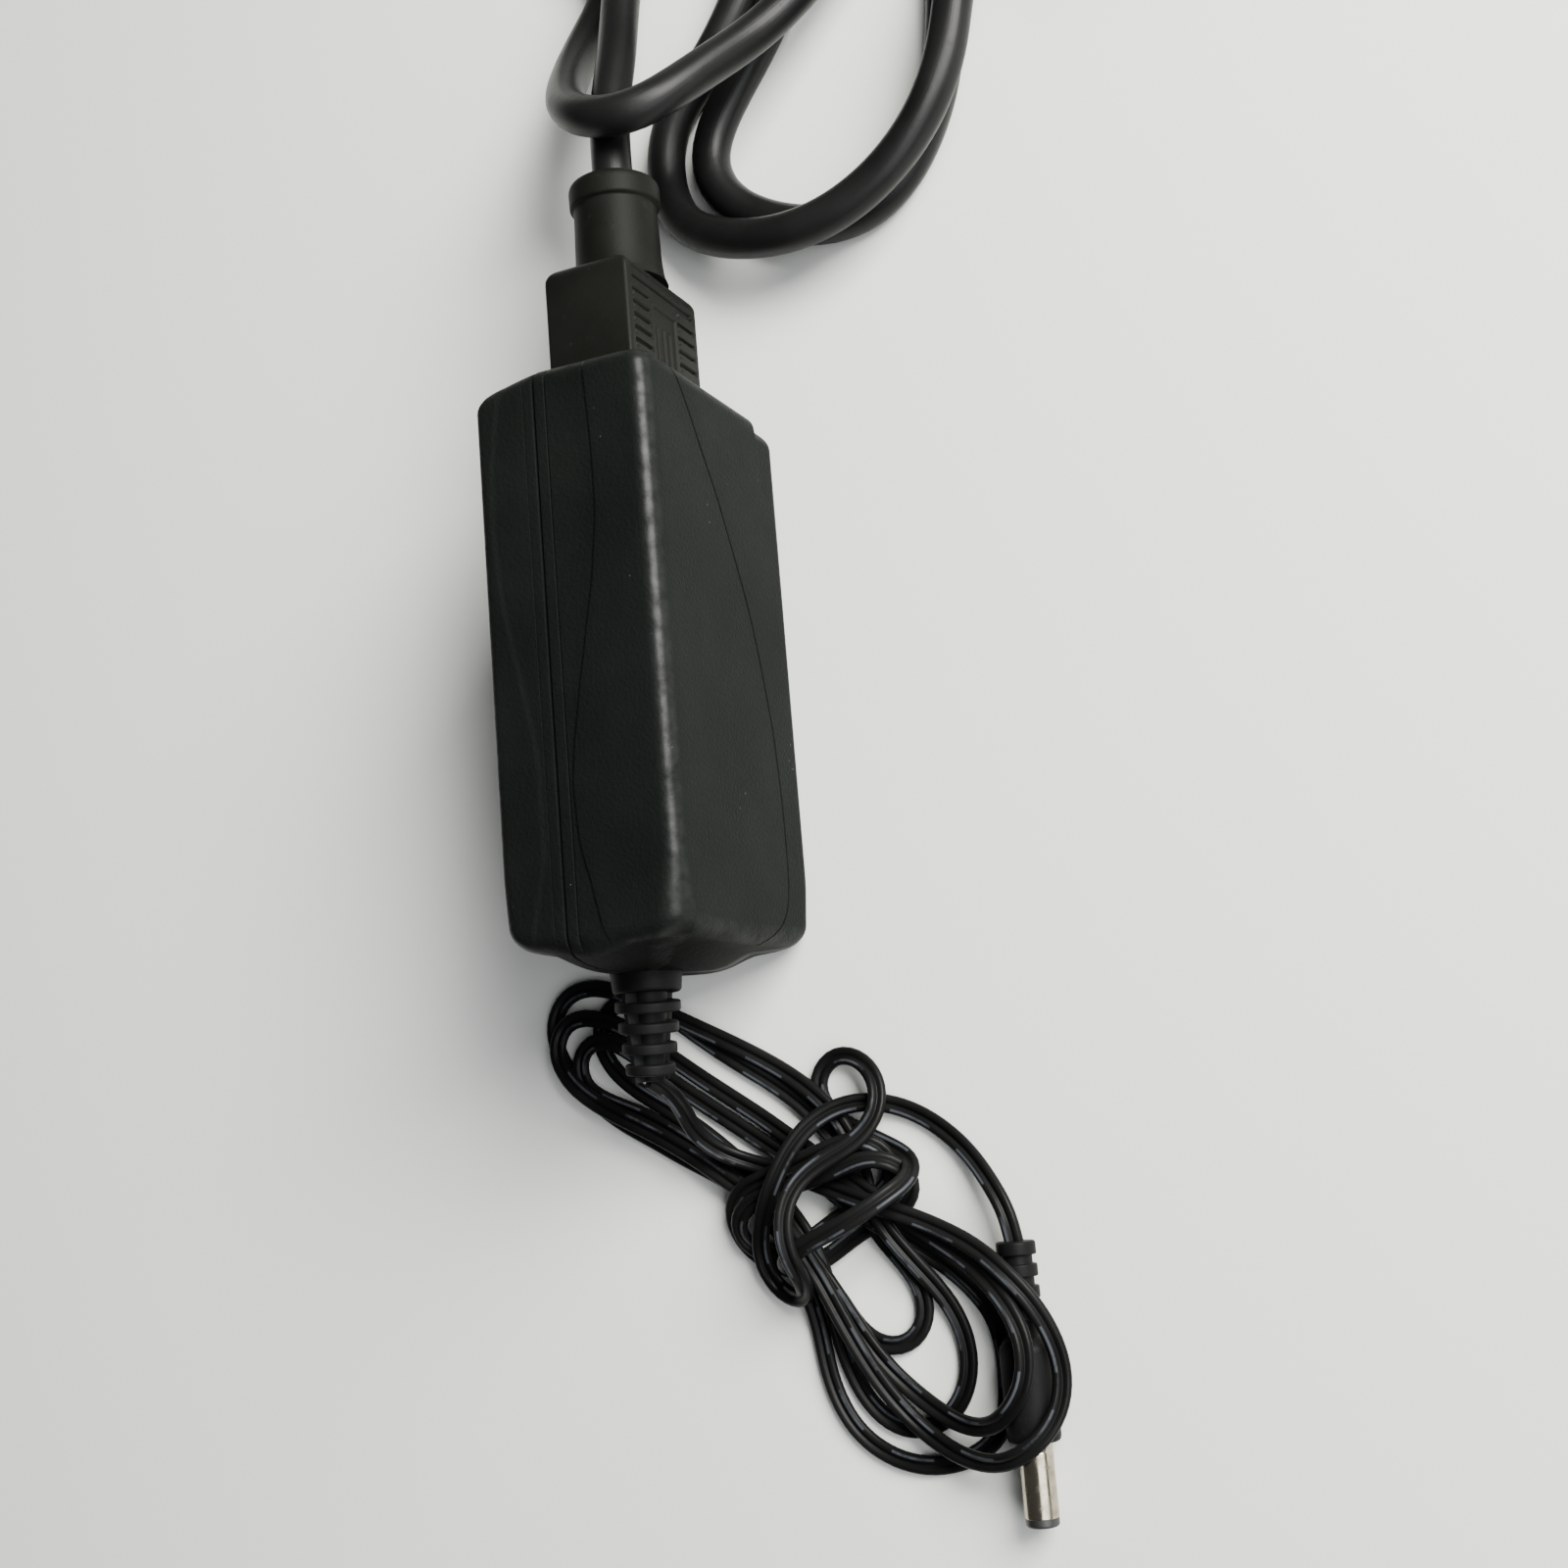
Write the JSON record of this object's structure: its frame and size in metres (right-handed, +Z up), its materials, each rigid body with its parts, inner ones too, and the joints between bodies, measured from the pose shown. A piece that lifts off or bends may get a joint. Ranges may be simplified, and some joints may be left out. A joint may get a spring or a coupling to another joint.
{
  "type": "power adapter",
  "caption": "Desktop power adapter: two-shell case with a mains inlet, a pull-out mains lead with moulded plug, and a fixed low-voltage lead with a barrel plug.",
  "frame": {"origin": "middle of the case's base face, on the surface that the adapter stands on", "axes": "+Z up, +Y along the case towards the mains inlet, +X across the parting line towards the thick shell"},
  "size_m": [0.1585, 0.3914, 0.05],
  "materials": {
    "case_plastic": "fine-textured charcoal black moulding, satin on its rubbed edges",
    "label_film": "blank matt black label film",
    "inlet_plastic": "black thermoplastic",
    "nickel_plate": "nickel plate",
    "board_laminate": "glass-epoxy laminate with solder mask",
    "insulation_film": "polyester film",
    "ferrite": "bare ferrite",
    "winding_tape": "polyester winding tape",
    "capacitor_sleeve": "shrunk sleeve",
    "copper_winding": "enamelled copper wire",
    "capacitor_box": "moulded box",
    "ceramic_disc": "epoxy-dipped ceramic",
    "chip_epoxy": "moulding compound",
    "fuse_body": "sleeved fuse",
    "sink_metal": "plain sheet",
    "wire_insulation": "insulated wire",
    "moulded_pvc": "soft moulded PVC",
    "cord_pvc": "glossy black PVC sheath",
    "connector_pvc": "moulded PVC, matt",
    "contact_brass": "rolled brass",
    "tie_strap": "woven hook-and-loop strap"
  },
  "bodies": {
    "adapter": {"thick_shell": "case_plastic", "thin_shell": "case_plastic", "rating_label": "label_film", "inlet_housing": "inlet_plastic", "inlet_line_pin": "nickel_plate", "inlet_neutral_pin": "nickel_plate", "inlet_earth_pin": "nickel_plate", "circuit_board": "board_laminate", "insulation_sheet": "insulation_film", "transformer_core": "ferrite", "transformer_winding": "winding_tape", "bulk_capacitor": "capacitor_sleeve", "output_capacitors": "capacitor_sleeve", "line_filter_choke": "copper_winding", "x_capacitor": "capacitor_box", "y_capacitor": "ceramic_disc", "bridge_rectifier": "chip_epoxy", "input_fuse": "fuse_body", "inrush_thermistor": "ceramic_disc", "primary_heatsink": "sink_metal", "switching_transistor": "chip_epoxy", "secondary_heatsink": "sink_metal", "output_rectifier": "chip_epoxy", "heatsink_screws": "nickel_plate", "optocoupler": "chip_epoxy", "controller_chip": "chip_epoxy", "output_choke": "ferrite", "inlet_wires": "wire_insulation", "output_wires": "wire_insulation", "output_strain_relief": "moulded_pvc", "dc_cord_start": "cord_pvc", "dc_cord_hank": "cord_pvc", "dc_cord_tail": "cord_pvc", "barrel_plug_grip": "moulded_pvc", "barrel_plug_sleeve": "nickel_plate", "barrel_plug_tip": "inlet_plastic", "barrel_plug_contact": "contact_brass"},
    "mains_lead": {"connector_body": "connector_pvc", "connector_nose": "connector_pvc", "connector_boot": "connector_pvc", "connector_contacts": "contact_brass", "mains_cord_first_loop": "cord_pvc", "mains_cord_second_loop": "cord_pvc", "mains_cord_third_loop": "cord_pvc", "mains_cord_hank": "cord_pvc", "mains_cord_tail": "cord_pvc", "hank_tie": "tie_strap", "mains_plug_body": "connector_pvc", "mains_plug_blades": "nickel_plate", "mains_plug_earth_pin": "nickel_plate"}
  },
  "joints": [
    {"name": "mains_lead_pull", "type": "slide", "parent": "adapter", "child": "mains_lead", "axis": [0, 1, 0], "range_m": [0, 0.02]}
  ]
}
